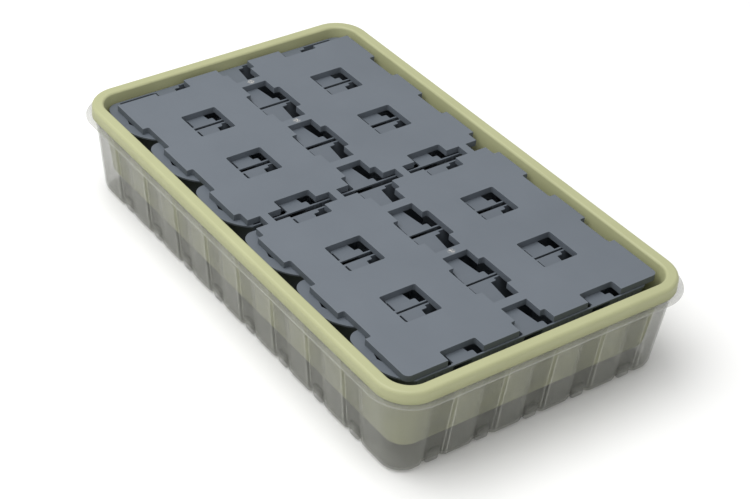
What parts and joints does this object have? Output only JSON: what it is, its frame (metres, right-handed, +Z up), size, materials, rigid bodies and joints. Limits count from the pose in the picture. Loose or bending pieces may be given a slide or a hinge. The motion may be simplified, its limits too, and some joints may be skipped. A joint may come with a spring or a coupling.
{
  "type": "plug tray",
  "caption": "Seed-raising set: two nested trays holding hinged rows of open cells under a holed cover grid that lifts off.",
  "frame": {"origin": "centre of the clear outer tray's underside", "axes": "+X along the length, towards the end where the strips leave the wider gap; +Z up"},
  "size_m": [0.374, 0.229, 0.0685],
  "materials": {
    "clear_polystyrene": "clear, slightly scuffed thin moulded plastic",
    "green_polypropylene": "satin",
    "grey_cover_plastic": "satin, fine grain",
    "grey_strip_plastic": "satin, fine grain"
  },
  "bodies": {
    "outer_tray": {"clear_outer_tray": "clear_polystyrene"},
    "inner_tray": {"green_inner_tray": "green_polypropylene"},
    "cover": {"cover_grid": "grey_cover_plastic"},
    "strip_1_back": {"strip_1_back_half": "grey_strip_plastic"},
    "strip_1_front": {"strip_1_front_half": "grey_strip_plastic"},
    "strip_2_back": {"strip_2_back_half": "grey_strip_plastic"},
    "strip_2_front": {"strip_2_front_half": "grey_strip_plastic"},
    "strip_3_back": {"strip_3_back_half": "grey_strip_plastic"},
    "strip_3_front": {"strip_3_front_half": "grey_strip_plastic"},
    "strip_4_back": {"strip_4_back_half": "grey_strip_plastic"},
    "strip_4_front": {"strip_4_front_half": "grey_strip_plastic"},
    "strip_5_back": {"strip_5_back_half": "grey_strip_plastic"},
    "strip_5_front": {"strip_5_front_half": "grey_strip_plastic"},
    "strip_6_back": {"strip_6_back_half": "grey_strip_plastic"},
    "strip_6_front": {"strip_6_front_half": "grey_strip_plastic"}
  },
  "joints": [
    {"name": "inner_tray_lift", "type": "slide", "parent": "outer_tray", "child": "inner_tray", "axis": [0, 0, 1], "range_m": [0, 0.07]},
    {"name": "cover_lift", "type": "slide", "parent": "inner_tray", "child": "cover", "axis": [0, 0, 1], "range_m": [0, 0.13]},
    {"name": "strip_1_lift", "type": "slide", "parent": "inner_tray", "child": "strip_1_back", "axis": [0, 0, 1], "range_m": [0, 0.065]},
    {"name": "strip_1_fold", "type": "hinge", "parent": "strip_1_back", "child": "strip_1_front", "pos_m": [-0.1458, 0, 0.0182], "axis": [0, 1, 0], "range_deg": [0, 1.5]},
    {"name": "strip_2_lift", "type": "slide", "parent": "inner_tray", "child": "strip_2_back", "axis": [0, 0, 1], "range_m": [0, 0.065]},
    {"name": "strip_2_fold", "type": "hinge", "parent": "strip_2_back", "child": "strip_2_front", "pos_m": [-0.0896, 0, 0.0182], "axis": [0, 1, 0], "range_deg": [0, 1.5]},
    {"name": "strip_3_lift", "type": "slide", "parent": "inner_tray", "child": "strip_3_back", "axis": [0, 0, 1], "range_m": [0, 0.065]},
    {"name": "strip_3_fold", "type": "hinge", "parent": "strip_3_back", "child": "strip_3_front", "pos_m": [-0.0324, 0, 0.0182], "axis": [0, 1, 0], "range_deg": [0, 1.5]},
    {"name": "strip_4_lift", "type": "slide", "parent": "inner_tray", "child": "strip_4_back", "axis": [0, 0, 1], "range_m": [0, 0.065]},
    {"name": "strip_4_fold", "type": "hinge", "parent": "strip_4_back", "child": "strip_4_front", "pos_m": [0.0258, 0, 0.0182], "axis": [0, 1, 0], "range_deg": [0, 1.5]},
    {"name": "strip_5_lift", "type": "slide", "parent": "inner_tray", "child": "strip_5_back", "axis": [0, 0, 1], "range_m": [0, 0.065]},
    {"name": "strip_5_fold", "type": "hinge", "parent": "strip_5_back", "child": "strip_5_front", "pos_m": [0.083, 0, 0.0182], "axis": [0, 1, 0], "range_deg": [0, 1.5]},
    {"name": "strip_6_lift", "type": "slide", "parent": "inner_tray", "child": "strip_6_back", "axis": [0, 0, 1], "range_m": [0, 0.065]},
    {"name": "strip_6_fold", "type": "hinge", "parent": "strip_6_back", "child": "strip_6_front", "pos_m": [0.1386, 0, 0.0182], "axis": [0, 1, 0], "range_deg": [0, 1.5]}
  ],
  "couplings": [
    {"joint": "strip_1_lift", "follows": "cover_lift", "ratio": 0.5},
    {"joint": "strip_2_lift", "follows": "cover_lift", "ratio": 0.5},
    {"joint": "strip_3_lift", "follows": "cover_lift", "ratio": 0.5},
    {"joint": "strip_4_lift", "follows": "cover_lift", "ratio": 0.5},
    {"joint": "strip_5_lift", "follows": "cover_lift", "ratio": 0.5},
    {"joint": "strip_6_lift", "follows": "cover_lift", "ratio": 0.5}
  ]
}
